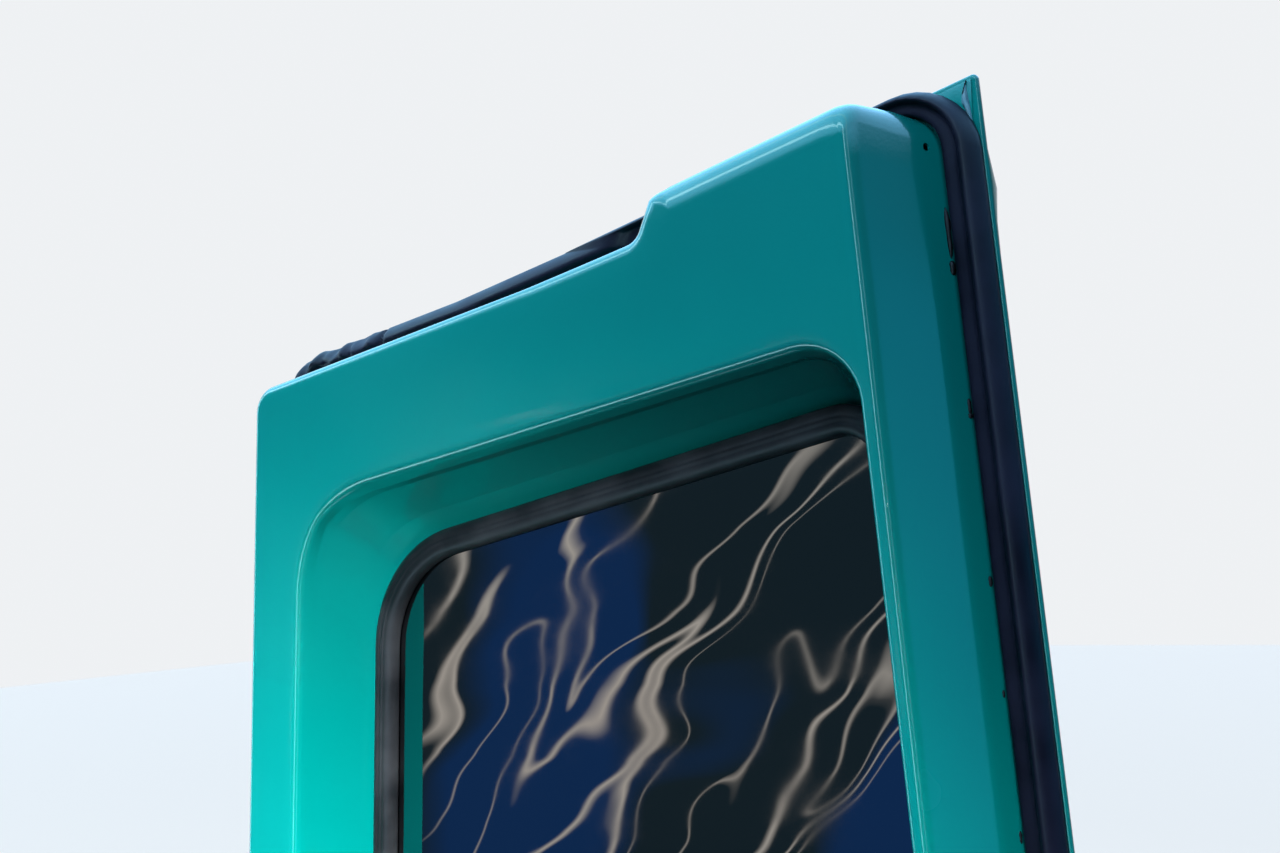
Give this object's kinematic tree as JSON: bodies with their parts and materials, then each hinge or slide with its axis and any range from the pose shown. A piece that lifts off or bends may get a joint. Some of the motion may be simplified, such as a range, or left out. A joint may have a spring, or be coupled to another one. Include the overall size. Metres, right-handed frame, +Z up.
{
  "type": "rear cargo door of a panel van",
  "caption": "Pressed-steel rear van door with a deep inner panel, sealed window, stepped top edge, strap hinges, lever handle and spring bolt.",
  "frame": {"origin": "middle of the lower hinge's body leaf bolt pattern, on the leaf's mounting face", "axes": "+X from the hinge edge to the latch edge of the fully open door, +Y from the inner face to the outer skin, +Z up along the hinge axis"},
  "size_m": [0.6464, 0.142, 1.2031],
  "materials": {
    "door_paint": "gloss teal-green enamel",
    "seal_rubber": "sponge rubber with a skin, satin",
    "gasket_rubber": "extruded rubber, satin",
    "tinted_glass": "very dark tint, glossy",
    "handle_chrome": "bright",
    "zinc_steel": "zinc plated"
  },
  "bodies": {
    "body_side": {"lower_hinge_body_leaf": "door_paint", "upper_hinge_body_leaf": "door_paint", "lower_hinge_pin": "zinc_steel", "upper_hinge_pin": "zinc_steel"},
    "door": {"outer_skin": "door_paint", "inner_panel": "door_paint", "window_glass": "tinted_glass", "window_gasket": "gasket_rubber", "weatherstrip": "seal_rubber", "lower_hinge_door_leaf": "door_paint", "upper_hinge_door_leaf": "door_paint", "handle_rose": "handle_chrome", "inside_rose": "handle_chrome", "latch_faceplate": "zinc_steel", "service_cover": "door_paint"},
    "handle": {"outside_handle": "handle_chrome", "handle_spindle": "zinc_steel", "inside_handle": "handle_chrome"},
    "bolt": {"latch_bolt": "zinc_steel"}
  },
  "joints": [
    {"name": "door_swing", "type": "hinge", "parent": "body_side", "child": "door", "pos_m": [-0.056, -0.016, 0], "axis": [0, 0, 1], "range_deg": [-180, 0]},
    {"name": "handle_turn", "type": "hinge", "parent": "door", "child": "handle", "pos_m": [0.46467, -0.05, 0.32], "axis": [0, 1, 0], "range_deg": [-50, 0], "stiffness_Nm_per_rad": 0.8, "springref_deg": 45.84},
    {"name": "bolt_slide", "type": "slide", "parent": "door", "child": "bolt", "axis": [1, 0, 0], "range_m": [-0.012, 0]}
  ],
  "couplings": [
    {"joint": "bolt_slide", "follows": "handle_turn", "m_per_rad": 0.0137}
  ]
}
